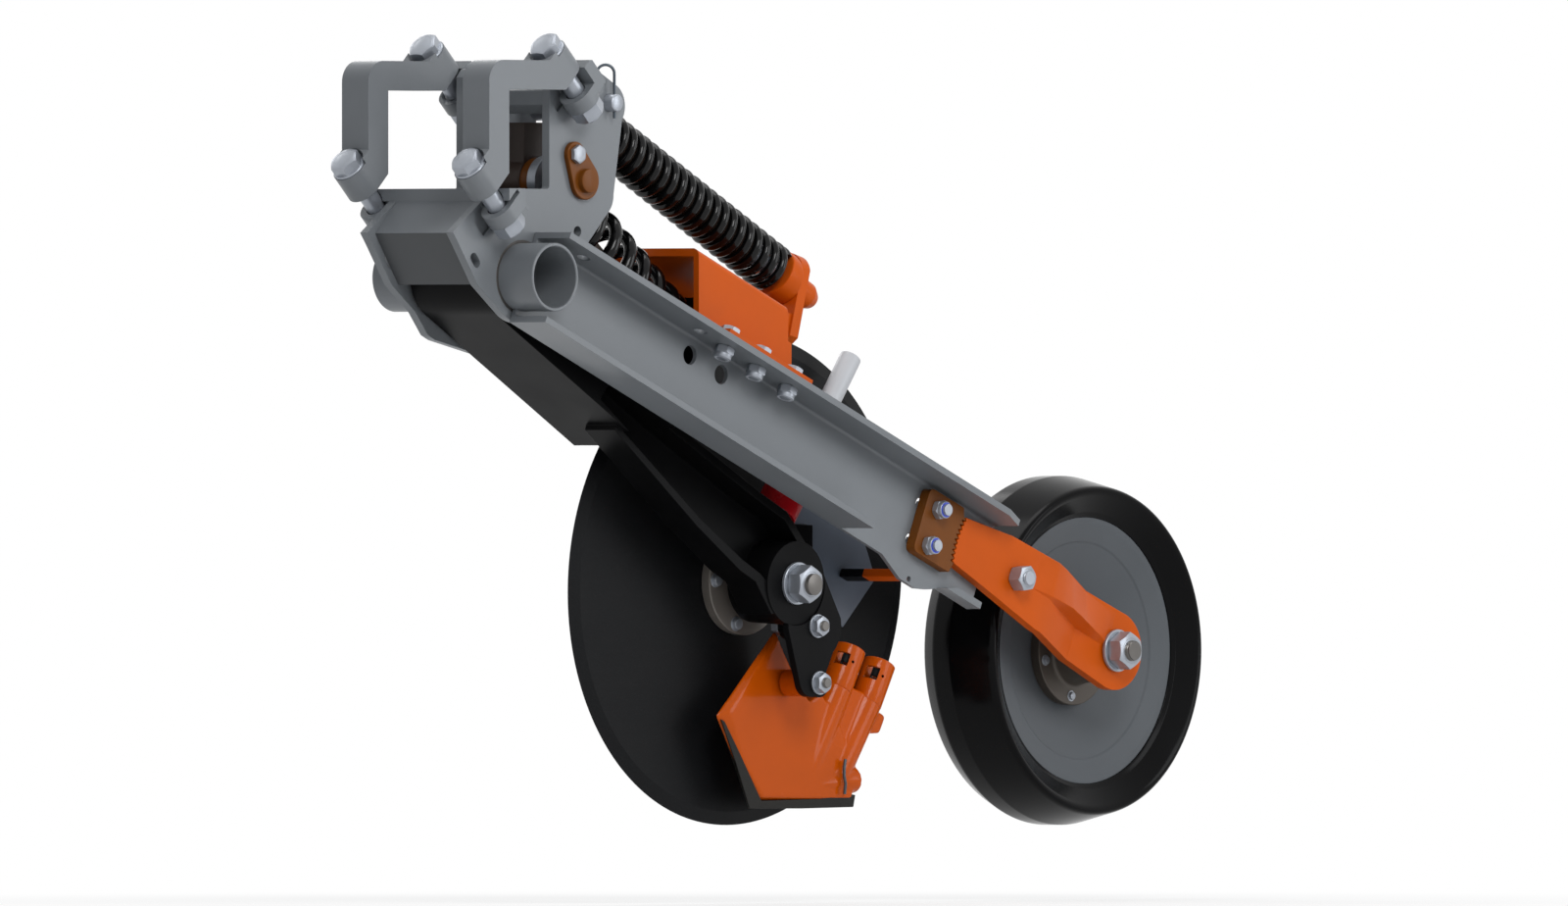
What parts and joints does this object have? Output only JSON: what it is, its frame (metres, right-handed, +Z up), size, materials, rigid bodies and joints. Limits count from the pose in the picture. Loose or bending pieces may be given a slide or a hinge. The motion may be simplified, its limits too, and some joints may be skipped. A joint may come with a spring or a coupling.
{
  "type": "planter row unit with press wheel",
  "caption": "Single disc opener row unit that clamps to a square toolbar, with two spring struts, a seed boot and a press wheel on a toothed adjustable arm.",
  "frame": {"origin": "centre of the square toolbar opening", "axes": "+X to the rear, towards the press wheel; +Z up; the press wheel arm is on the -Y side"},
  "size_m": [1.2126, 0.228, 0.8207],
  "materials": {
    "frame_grey": "satin",
    "orange_paint": "gloss",
    "black_paint": "satin",
    "brown_paint": "satin",
    "zinc": "satin",
    "steel": "machined",
    "disc_steel": "polished",
    "rim_grey": "satin",
    "guard_blue": "satin",
    "tyre": "gloss",
    "boot_orange": "gloss",
    "shoe_iron": "matte",
    "red_paint": "gloss"
  },
  "bodies": {
    "head": {"side_plate_near": "frame_grey", "side_plate_far": "frame_grey", "front_beam": "frame_grey", "rear_beam": "frame_grey", "toolbar_clamps": "frame_grey", "clamp_bolts": "zinc", "clamp_nuts": "zinc", "pivot_bushes": "steel", "upper_spring_pin": "zinc", "pin_clip": "zinc", "lower_spring_pin": "brown_paint", "pin_keeper": "brown_paint", "keeper_screw": "zinc"},
    "press_frame": {"pivot_tube": "frame_grey", "frame_channel": "frame_grey", "bridge_bracket": "orange_paint", "upper_spring_seat": "orange_paint", "scraper_bar": "orange_paint", "scraper_tip": "black_paint", "frame_bolts": "zinc", "frame_nuts": "zinc"},
    "lock": {"lock_block": "brown_paint", "lock_bolts": "zinc", "lock_nuts": "zinc"},
    "wheel_carrier": {"wheel_arm": "orange_paint", "wheel_axle": "steel", "wheel_axle_washer": "zinc", "wheel_axle_nut": "zinc"},
    "press_wheel": {"press_tyre": "tyre", "rim_near": "rim_grey", "rim_far": "rim_grey", "wheel_hub": "rim_grey", "wheel_bearings": "steel", "wheel_bolts": "zinc"},
    "disc_carrier": {"disc_arm": "black_paint", "disc_arm_bush": "steel", "lower_spring_seat": "black_paint", "disc_axle": "steel", "disc_axle_washer": "zinc", "disc_axle_nut": "zinc", "arm_post": "zinc", "post_sleeve": "red_paint", "guard_plate": "guard_blue", "boot_bracket": "black_paint", "boot_bolts": "zinc", "boot_nuts": "zinc", "seed_boot": "boot_orange", "wear_shoe": "shoe_iron"},
    "disc": {"disc_blade": "disc_steel", "disc_hub": "steel", "disc_bearings": "steel", "disc_bolts": "zinc"},
    "upper_strut": {"upper_rod": "zinc", "upper_guide_tube": "brown_paint", "upper_spring": "steel", "upper_rod_nut": "orange_paint"},
    "lower_eye": {"lower_eye_bush": "brown_paint"},
    "lower_strut": {"lower_rod": "brown_paint", "lower_spring": "black_paint", "lower_rod_nut": "zinc"}
  },
  "joints": [
    {"name": "press_frame_lift", "type": "hinge", "parent": "head", "child": "press_frame", "pos_m": [0.009, 0, -0.141], "axis": [0, -1, 0], "range_deg": [0, 12], "deforming": ["upper_spring", "lower_spring"]},
    {"name": "disc_arm_drop", "type": "hinge", "parent": "press_frame", "child": "disc_carrier", "pos_m": [0.009, 0, -0.141], "axis": [0, -1, 0], "range_deg": [-10, 0], "deforming": ["lower_spring"]},
    {"name": "disc_spin", "type": "hinge", "parent": "disc_carrier", "child": "disc", "pos_m": [0.4467, 0.036, -0.451], "axis": [0, -0.9988, -0.048], "continuous": true},
    {"name": "lock_release", "type": "slide", "parent": "press_frame", "child": "lock", "axis": [-0.9205, 0, 0.3907], "range_m": [0, 0.015]},
    {"name": "wheel_arm_tilt", "type": "hinge", "parent": "press_frame", "child": "wheel_carrier", "pos_m": [0.7425, 0, -0.45018], "axis": [0, -1, 0], "range_deg": [0, 3.5]},
    {"name": "press_wheel_spin", "type": "hinge", "parent": "wheel_carrier", "child": "press_wheel", "pos_m": [0.92062, -0.0603, -0.52579], "axis": [0.038, -0.9993, 0], "continuous": true},
    {"name": "upper_strut_swing", "type": "hinge", "parent": "head", "child": "upper_strut", "pos_m": [0.141, 0, 0.038], "axis": [0, -1, 0], "range_deg": [0, 14]},
    {"name": "lower_eye_swing", "type": "hinge", "parent": "head", "child": "lower_eye", "pos_m": [0.1, 0, -0.042], "axis": [0, -1, 0], "range_deg": [0, 12.6]},
    {"name": "lower_strut_swing", "type": "hinge", "parent": "lower_eye", "child": "lower_strut", "pos_m": [0.1, 0, -0.042], "axis": [0, -1, 0], "range_deg": [-10.5, 0]}
  ],
  "couplings": [
    {"joint": "wheel_arm_tilt", "follows": "lock_release", "rad_per_m": 4.0724},
    {"joint": "upper_strut_swing", "follows": "press_frame_lift", "ratio": 1.15},
    {"joint": "lower_eye_swing", "follows": "press_frame_lift", "ratio": 1.04},
    {"joint": "lower_strut_swing", "follows": "disc_arm_drop", "ratio": 1.04}
  ]
}
